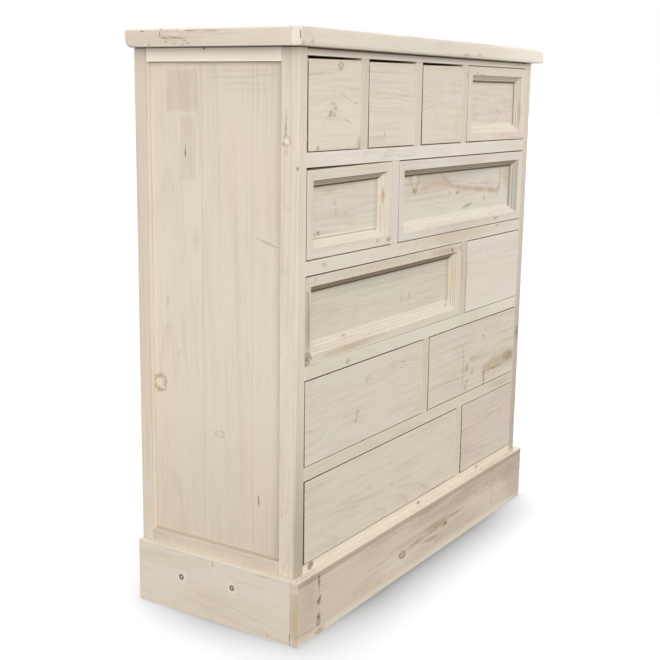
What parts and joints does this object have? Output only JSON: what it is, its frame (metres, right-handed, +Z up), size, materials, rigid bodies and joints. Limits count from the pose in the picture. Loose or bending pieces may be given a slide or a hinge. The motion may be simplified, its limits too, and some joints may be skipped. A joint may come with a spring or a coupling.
{
  "type": "chest of drawers",
  "caption": "Wide limed pine chest on a plinth, with an overhanging top, panelled sides and handleless sliding drawers of mixed widths in rows.",
  "frame": {"origin": "on the floor, under the middle of the whole chest", "axes": "+Z up, -Y out of the drawers' fronts, +X to the right for someone who faces the drawers"},
  "size_m": [1.05, 0.395, 1.133],
  "materials": {
    "limed_pine": "pine with a brushed white lime wash, matt",
    "limed_front": "pine with a white lime wash, slightly greyer, matt",
    "plinth_pine": "pine with a thinner, warmer lime wash, matt",
    "bare_pine": "planed pine, unfinished"
  },
  "bodies": {
    "carcass": {"top_board": "limed_pine", "top_front_lip": "limed_pine", "sub_top": "bare_pine", "front_post_left": "limed_pine", "front_post_right": "limed_pine", "rear_post_left": "limed_pine", "rear_post_right": "limed_pine", "side_top_rail_left": "limed_pine", "side_top_rail_right": "limed_pine", "side_bottom_rail_left": "limed_pine", "side_bottom_rail_right": "limed_pine", "side_panel_left": "limed_pine", "side_panel_right": "limed_pine", "back_panel": "bare_pine", "front_rail_1": "limed_pine", "front_rail_2": "limed_pine", "front_rail_3": "limed_pine", "front_rail_4": "limed_pine", "front_rail_5": "limed_pine", "front_rail_6": "limed_pine", "divider_1_1": "limed_pine", "divider_1_2": "limed_pine", "divider_1_3": "limed_pine", "divider_2_1": "limed_pine", "divider_3_1": "limed_pine", "divider_4_1": "limed_pine", "divider_5_1": "limed_pine", "plinth_front": "plinth_pine", "plinth_left": "plinth_pine", "plinth_right": "plinth_pine", "plinth_back": "plinth_pine", "dust_board_1": "bare_pine", "dust_board_2": "bare_pine", "dust_board_3": "bare_pine", "dust_board_4": "bare_pine", "bottom_board": "bare_pine"},
    "drawer_1_1": {"drawer_1_1_front": "limed_front", "drawer_1_1_box": "bare_pine"},
    "drawer_1_2": {"drawer_1_2_front": "limed_front", "drawer_1_2_box": "bare_pine"},
    "drawer_1_3": {"drawer_1_3_front": "limed_front", "drawer_1_3_box": "bare_pine"},
    "drawer_1_4": {"drawer_1_4_front": "limed_front", "drawer_1_4_box": "bare_pine"},
    "drawer_2_1": {"drawer_2_1_front": "limed_front", "drawer_2_1_box": "bare_pine"},
    "drawer_2_2": {"drawer_2_2_front": "limed_front", "drawer_2_2_box": "bare_pine"},
    "drawer_3_1": {"drawer_3_1_front": "limed_front", "drawer_3_1_box": "bare_pine"},
    "drawer_3_2": {"drawer_3_2_front": "limed_front", "drawer_3_2_box": "bare_pine"},
    "drawer_4_1": {"drawer_4_1_front": "limed_front", "drawer_4_1_box": "bare_pine"},
    "drawer_4_2": {"drawer_4_2_front": "limed_front", "drawer_4_2_box": "bare_pine"},
    "drawer_5_1": {"drawer_5_1_front": "limed_front", "drawer_5_1_box": "bare_pine"},
    "drawer_5_2": {"drawer_5_2_front": "limed_front", "drawer_5_2_box": "bare_pine"}
  },
  "joints": [
    {"name": "drawer_1_1_slide", "type": "slide", "parent": "carcass", "child": "drawer_1_1", "axis": [0, -1, 0], "range_m": [0, 0.25]},
    {"name": "drawer_1_2_slide", "type": "slide", "parent": "carcass", "child": "drawer_1_2", "axis": [0, -1, 0], "range_m": [0, 0.25]},
    {"name": "drawer_1_3_slide", "type": "slide", "parent": "carcass", "child": "drawer_1_3", "axis": [0, -1, 0], "range_m": [0, 0.25]},
    {"name": "drawer_1_4_slide", "type": "slide", "parent": "carcass", "child": "drawer_1_4", "axis": [0, -1, 0], "range_m": [0, 0.25]},
    {"name": "drawer_2_1_slide", "type": "slide", "parent": "carcass", "child": "drawer_2_1", "axis": [0, -1, 0], "range_m": [0, 0.25]},
    {"name": "drawer_2_2_slide", "type": "slide", "parent": "carcass", "child": "drawer_2_2", "axis": [0, -1, 0], "range_m": [0, 0.25]},
    {"name": "drawer_3_1_slide", "type": "slide", "parent": "carcass", "child": "drawer_3_1", "axis": [0, -1, 0], "range_m": [0, 0.25]},
    {"name": "drawer_3_2_slide", "type": "slide", "parent": "carcass", "child": "drawer_3_2", "axis": [0, -1, 0], "range_m": [0, 0.25]},
    {"name": "drawer_4_1_slide", "type": "slide", "parent": "carcass", "child": "drawer_4_1", "axis": [0, -1, 0], "range_m": [0, 0.25]},
    {"name": "drawer_4_2_slide", "type": "slide", "parent": "carcass", "child": "drawer_4_2", "axis": [0, -1, 0], "range_m": [0, 0.25]},
    {"name": "drawer_5_1_slide", "type": "slide", "parent": "carcass", "child": "drawer_5_1", "axis": [0, -1, 0], "range_m": [0, 0.25]},
    {"name": "drawer_5_2_slide", "type": "slide", "parent": "carcass", "child": "drawer_5_2", "axis": [0, -1, 0], "range_m": [0, 0.25]}
  ]
}
